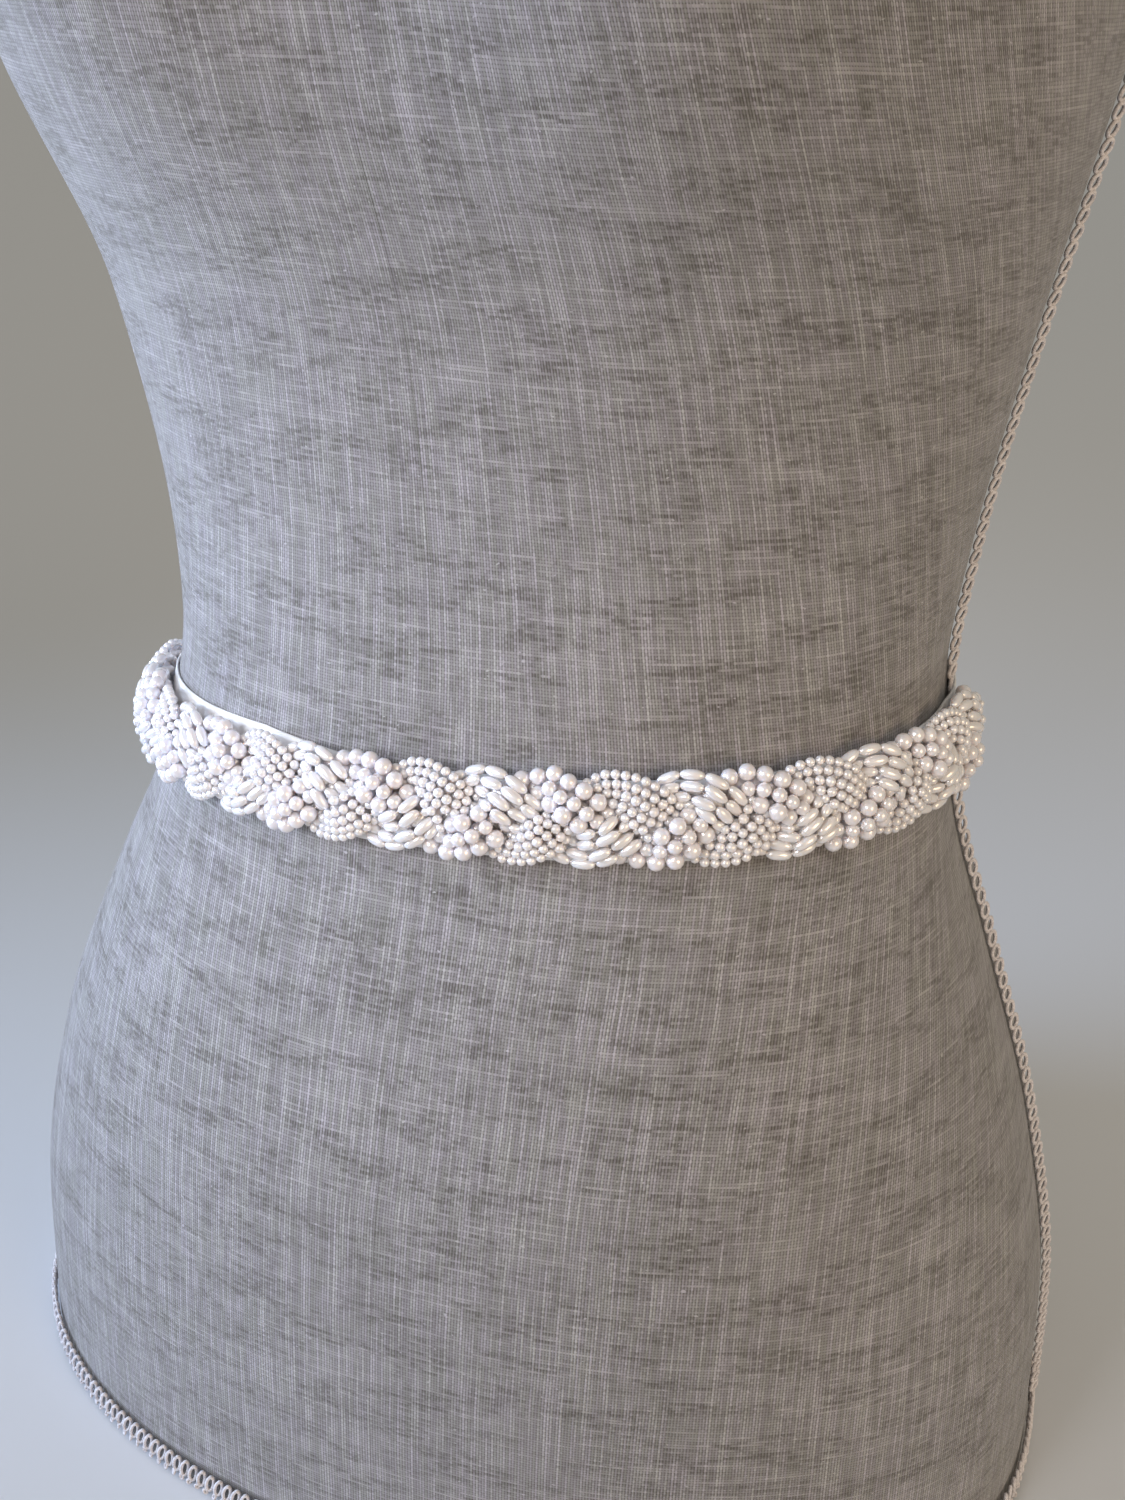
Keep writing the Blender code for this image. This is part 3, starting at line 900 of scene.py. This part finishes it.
def make_ribbon(track, material):
    """Satin ribbon wound once round the waist, its end lapped over its start at centre back."""
    back = [np.interp(turn, track.angle, track.distance) for turn in (-1.5 * math.pi, 0.5 * math.pi)]
    start, end = back[0] - RIBBON_LAP / 2, back[1] + RIBBON_LAP / 2
    steps = round((end - start) / RIBBON_STEP)

    def lap(distance):
        step = np.clip((distance - end + RIBBON_LAP + RIBBON_LAP_STEP) / RIBBON_LAP_STEP, 0, 1)
        return (RIBBON_THICKNESS + CLEARANCE) * step * step * (3 - 2 * step)

    def place(u, v):
        distance = start + (end - start) * u
        across = (v - 0.5) * RIBBON_WIDTH - np.interp(distance, *zip(*RIBBON_DROPS))
        angle = np.interp(distance, track.distance, track.angle)
        gap = track.read(track.base, distance) - sash_line(angle, 0.0)
        hollow = RIBBON_SAG * np.clip(np.sum(gap * track.read(track.out, distance), axis=-1), 0, None)
        sag = hollow * (1 - (2 * v - 1) ** 2)
        ripple = RIBBON_RIPPLE * np.sin(distance * RIBBON_RIPPLE_FINE)
        ripple = ripple * np.sin(distance * RIBBON_RIPPLE_BROAD + RIBBON_RIPPLE_SLANT * v)
        return track.place(distance, across, CLEARANCE + lap(distance) - sag + RIBBON_WALL + ripple)

    def chart(u, v, _):
        return np.stack([(end - start) * u, (v - 0.5) * RIBBON_WIDTH], axis=1)

    mesh = wrapped_grid(steps, RIBBON_ROWS, place, chart)
    bmesh.ops.recalc_face_normals(mesh, faces=mesh.faces)
    piece = finish_piece("satin_ribbon", to_data("satin_ribbon", mesh), material, ["ribbon"])
    wall = piece.modifiers.new("wall", "SOLIDIFY")
    wall.thickness = RIBBON_WALL
    wall.offset = -1.0
    count = RIBBON_LENGTH_SAMPLES
    middle = place(np.linspace(0, 1, count), np.full(count, 0.5))
    return piece


# Pearl strands

def plait_ends():
    """Where the strands start and stop, by distance from centre front."""
    return END_INSETS[0] - PLAIT_LENGTH / 2, PLAIT_LENGTH / 2 - END_INSETS[1]


def bundle_path(place, reach, distance):
    """Sideways and outward course of one bundle, with its slope, tilt and spread."""
    turn = TAU * (distance / PLAIT_PITCH + PLAIT_START_TURN - place / len(BUNDLES))
    first, last = plait_ends()
    from_end = np.clip(np.minimum(distance - first, last - distance) / END_TAPER, 0, 1)
    ease = from_end * from_end * (3 - 2 * from_end)
    size = END_SECTION + (1 - END_SECTION) * ease
    spread = END_SWAY + (1 - END_SWAY) * ease
    crossing = BUNDLE_HEAVE * np.sin(2 * turn) + BUNDLE_SHARPNESS * np.sin(4 * turn)
    return {
        "sway": reach * BUNDLE_SWAY * spread * np.sin(turn),
        "heave": -spread * PRESSED * crossing,
        "slope": reach * BUNDLE_SWAY * spread * np.cos(turn) * TAU / PLAIT_PITCH,
        "tilt": BUNDLE_TILT * np.cos(turn) + BUNDLE_TILT_EASE * np.cos(3 * turn),
        "size": size,
        "standoff": RIBBON_THICKNESS + 2 * CLEARANCE
        + (PLAIT_STANDOFF - RIBBON_THICKNESS - 2 * CLEARANCE) * spread * PRESSED,
        "top": -np.sin(2 * turn),
    }


def wander(draw, distance, reach, waves=3):
    """Smooth uneven drift along a strand."""
    total = np.zeros(len(distance))
    for _ in range(waves):
        total += np.sin(TAU * distance / draw.uniform(*WANDER_WAVES) + draw.uniform(0, TAU))
    return reach * total / math.sqrt(waves)


def strand_guide(place, reach, strand, draw):
    """The line that one strand is led along, in sash terms: along, across and standoff."""
    wide, thick, width, _ = strand
    stagger = draw.uniform(0.0, STRAND_STAGGER) + 0.5 * abs(wide)
    first, last = plait_ends()
    distance = np.arange(first + stagger, last - stagger, GUIDE_STEP)
    path = bundle_path(place, reach, distance)
    gain = (GUIDE_SPREAD + GUIDE_SPREAD_ON_TOP * path["top"]) * path["size"]
    side = (wide + wander(draw, distance, WANDER_ASIDE)) * gain
    rise = (thick + wander(draw, distance, WANDER_OUT)) * path["size"]
    flat = side * np.cos(path["tilt"]) - rise * np.sin(path["tilt"])
    proud = side * np.sin(path["tilt"]) + rise * np.cos(path["tilt"])
    lean = 1 / np.sqrt(1 + path["slope"] ** 2)
    return np.stack([
        distance - flat * path["slope"] * lean,
        path["sway"] + flat * lean,
        path["standoff"] + path["heave"] + proud,
    ], axis=1)


class StrandSet:
    """Strands as chains of small balls, one for a round pearl and two for an oat, eased till they rest."""

    def __init__(self):
        self.points = []
        self.guides = []
        self.radii = []
        self.links = []
        self.pearls = []
        self.runs = []

    def add(self, bundle, place, reach, strand, draw):
        guide = strand_guide(place, reach, strand, draw)
        along = np.concatenate([[0], np.cumsum(np.linalg.norm(np.diff(guide, axis=0), axis=1))])
        _, _, width, length = strand
        reached = width / 2
        first = True
        begin = len(self.points)
        while True:
            scale = draw.uniform(*PEARL_SCALES)
            radius = width / 2 * scale
            inner = (length - width) * scale
            if reached + inner + 2 * radius > along[-1]:
                break
            balls = [reached + radius] if inner < 1e-6 else [reached + radius, reached + radius + inner]
            start = len(self.points)
            for i, spot in enumerate(balls):
                point = np.array([np.interp(spot, along, guide[:, axis]) for axis in range(3)])
                if not first or i:
                    before = self.radii[-1]
                    gap = inner if i else before + radius + PEARL_GAP
                    self.links.append((len(self.points) - 1, len(self.points), gap))
                self.points.append(point)
                self.guides.append(point)
                self.radii.append(radius)
            self.pearls.append((bundle, start, len(balls), radius, length * scale / 2, draw.random()))
            reached += inner + 2 * radius + PEARL_GAP
            first = False
        self.runs.append((begin, len(self.points)))

    def settle(self, rounds=SETTLE_ROUNDS):
        points = np.array(self.points)
        guides = np.array(self.guides)
        radii = np.array(self.radii)
        first, second, gaps = (np.array(column) for column in zip(*self.links))
        linked = set(zip(first.tolist(), second.tolist()))
        floor = CLEARANCE + RIBBON_THICKNESS + radii + RIBBON_GAP
        for turn in range(rounds):
            if turn % NEAR_ROUNDS == 0:
                pairs = self.near_pairs(points, linked)
            pull = PULL_FIRST + (PULL_LAST - PULL_FIRST) * turn / rounds
            points[:, 1:] += pull * (guides[:, 1:] - points[:, 1:])
            points[:, 0] += PULL_ALONG * pull * (guides[:, 0] - points[:, 0])
            points[:, 2] -= PRESS
            points = self.push(points, *pairs, radii[pairs[0]] + radii[pairs[1]], only_apart=True)
            points = self.push(points, first, second, gaps, only_apart=False)
            points[:, 2] = np.maximum(points[:, 2], floor)
        return points

    @staticmethod
    def near_pairs(points, linked):
        """Pairs of balls near enough to touch soon, apart from neighbours on a thread."""
        order = np.argsort(points[:, 0])
        first, second = [], []
        along = points[order, 0]
        reach = np.searchsorted(along, along + NEAR_ALONG)
        for i, stop in enumerate(reach):
            others = order[i + 1:stop]
            close = np.abs(points[others] - points[order[i]]).max(axis=1) < NEAR_REACH
            found = others[close]
            first += [order[i]] * len(found)
            second += found.tolist()
        kept = [(a, b) for a, b in zip(first, second) if (a, b) not in linked and (b, a) not in linked]
        return tuple(np.array(column) for column in zip(*kept))

    @staticmethod
    def push(points, first, second, gaps, only_apart):
        """Move both ends of each pair half way to the wanted gap, shared between all pairs of a ball."""
        away = points[second] - points[first]
        length = np.maximum(np.linalg.norm(away, axis=1), 1e-9)
        lack = gaps - length
        if only_apart:
            lack = np.maximum(lack, 0)
        move = away * (0.5 * lack / length)[:, None]
        active = (np.abs(lack) > 1e-9).astype(float)
        total = np.bincount(first, active, len(points)) + np.bincount(second, active, len(points))
        share = np.maximum(total, 1.0) if only_apart else np.maximum(total, 1.0) * 0.5 + 0.5
        gain = PUSH_GAIN if only_apart else 1.0
        for axis in range(3):
            change = np.bincount(second, move[:, axis], len(points))
            change = change - np.bincount(first, move[:, axis], len(points))
            points[:, axis] += gain * change / share
        return points


def pearl_meshes():
    """One pearl of each kind, a unit ball: round ones from an icosphere, oats fuller than an oval."""
    mesh = bmesh.new()
    bmesh.ops.create_icosphere(mesh, subdivisions=2, radius=1.0)
    made = {"round": to_data("round", mesh)}
    mesh = bmesh.new()
    bmesh.ops.create_uvsphere(mesh, u_segments=10, v_segments=8, radius=1.0)
    for vert in mesh.verts:
        width = math.hypot(vert.co.x, vert.co.y)
        if width > 1e-4:
            fuller = math.sqrt(1 - abs(vert.co.z) ** OAT_FULLNESS) / width
            vert.co.x *= fuller
            vert.co.y *= fuller
    made["oat"] = to_data("oat", mesh)
    return made


def make_pearls(track, materials):
    draw = random.Random(PEARL_SEED)
    strands = StrandSet()
    for bundle, place, reach, rows in BUNDLES:
        for strand in rows:
            strands.add(bundle, place, reach, strand, draw)
    points = strands.settle()
    placed = track.place(points[:, 0], points[:, 1], points[:, 2])
    kinds = pearl_meshes()
    for bundle, _, _, _ in BUNDLES:
        places, tones = [], []
        for name, start, count, radius, half_length, shade in strands.pearls:
            if name != bundle:
                continue
            ends = placed[start:start + count]
            middle = Vector(ends.mean(axis=0))
            axis = Vector(ends[-1] - ends[0]) if count == 2 else Vector((shade - 0.5, 0.3, 0.4))
            turn = axis.to_track_quat("Z", "Y").to_matrix().to_4x4()
            size = PEARL_FULLNESS * Matrix.Diagonal((radius, radius, half_length))
            places.append(np.array(Matrix.Translation(middle) @ turn @ size.to_4x4()))
            tones.append(shade)
        kind = kinds["oat" if bundle == "oat_pearl" else "round"]
        data = scattered(kind, places, tones)
        finish_piece(bundle + "s", data, materials[bundle], [bundle + "_bundle"])
    return strands, placed


def make_threads(strands, placed, material):
    """The thread of each strand, through its pearls, as a thin round tube."""
    curve = bpy.data.curves.new("threads", "CURVE")
    curve.dimensions = "3D"
    curve.bevel_depth = STRAND_THREAD / 2
    curve.bevel_resolution = 0
    for first, last in strands.runs:
        spline = curve.splines.new("POLY")
        spline.points.add(last - first - 1)
        line = np.column_stack([placed[first:last], np.ones(last - first)])
        spline.points.foreach_set("co", line.ravel())
    holder = bpy.data.objects.new("threads", curve)
    data = bpy.data.meshes.new_from_object(holder)
    bpy.data.objects.remove(holder)
    return finish_piece("beading_threads", data, material, [])


# Crochet trims

def make_seam_trim(name, side, material, draw):
    """Chain of oval links sewn up a side seam, turned to face the front, each lapped over the one above."""
    heights = np.arange(HEM_TRIM_TOP + SEAM_LINK_LENGTH / 2, SEAM_TRIM_TOP, SEAM_LINK_PITCH * 0.98)
    centre, across, up, out = seam_course(side, heights)
    link = thread_loop(SEAM_LINK_WIDTH, SEAM_LINK_LENGTH, SEAM_THREAD)
    crossing = sash_line(np.array([SEAM_LINE if side > 0 else math.pi - SEAM_LINE]), 0.0)[0, 2]
    from_sash = np.abs(heights - crossing)
    free = np.clip((from_sash - SEAM_TUCK) / SEAM_TUCK_FADE, 0, 1)
    places = []
    proud = out * (CLEARANCE + SEAM_THREAD * 0.75 + SEAM_PROUD * free[:, None])
    for i, middle in enumerate(centre + proud):
        shaken = middle + across[i] * draw.uniform(-SEAM_SHAKE, SEAM_SHAKE)
        place = turned(set_at(shaken, across[i], up[i], -out[i]), z=side * SEAM_FACING * free[i])
        places.append(turned(place, x=draw.uniform(*SEAM_LEAN), y=draw.uniform(*SEAM_TILT)))
    data = scattered(link, places, [draw.random() for _ in places])
    return finish_piece(name + "_chain", data, material, [name])


def make_hem_trim(material, draw):
    """Leaning loops round the hem, each lapped over the one before, with a frill of small picots below."""
    fine = np.linspace(0, TAU, HEM_SAMPLES)
    loop_height = HEM_TRIM_TOP - HEM_LOOP_LENGTH / 2
    picot_height = HEM_TRIM_BOTTOM + HEM_PICOT_LENGTH / 2
    line = form_surface(fine, np.full(len(fine), loop_height))
    along = np.concatenate([[0], np.cumsum(np.linalg.norm(np.diff(line, axis=0), axis=1))])
    count = round(along[-1] / HEM_LOOP_PITCH)
    loop = thread_loop(HEM_LOOP_WIDTH, HEM_LOOP_LENGTH, HEM_THREAD)
    picot = thread_loop(HEM_PICOT_WIDTH, HEM_PICOT_LENGTH, HEM_THREAD * 0.8, around=8, sides=4)

    def on_hem(step, height, stand):
        turn = np.interp((step + draw.uniform(-HEM_SHAKE, HEM_SHAKE)) / count * along[-1], along, fine)
        point = form_surface(np.array([turn]), np.array([height]))[0]
        ahead = form_surface(np.array([turn + 0.004]), np.array([height]))[0]
        right = unit(ahead - point)
        out = np.cross(right, (0.0, 0.0, 1.0))
        middle = point + SHIFT + out * (CLEARANCE + HEM_THREAD * stand)
        return set_at(middle, right, np.array((0.0, 0.0, 1.0)), -out)

    loops, picots = [], []
    for i in range(count):
        place = on_hem(i, loop_height, HEM_LOOP_STAND)
        loops.append(turned(place, y=draw.uniform(*HEM_LOOP_TILT), z=draw.uniform(*HEM_LOOP_TURN)))
        place = on_hem(i + 0.5, picot_height, HEM_PICOT_STAND)
        turns = {"x": HEM_PICOT_LEAN, "y": HEM_PICOT_TILT, "z": HEM_PICOT_TURN}
        picots.append(turned(place, **{axis: draw.uniform(*ends) for axis, ends in turns.items()}))
    parts = [
        scattered(loop, loops, [draw.random() for _ in loops]),
        scattered(picot, picots, [draw.random() for _ in picots]),
    ]
    return finish_piece("hem_loops", joined("hem_loops", parts), material, ["hem_trim"])


make_camera()
make_floor()
make_studio()
cover = make_cover(linen_finish())
track = SashTrack()
make_ribbon(track, satin_finish())
nacres = {name: pearl_finish(name + "_nacre", *colours) for name, colours in NACRE.items()}
strands, placed = make_pearls(track, nacres)
make_threads(strands, placed, thread_finish())
crochet = crochet_finish()
hand = random.Random(CROCHET_SEED)
make_seam_trim("seam_trim_left", 1, crochet, hand)
make_seam_trim("seam_trim_right", -1, crochet, hand)
make_hem_trim(crochet, hand)
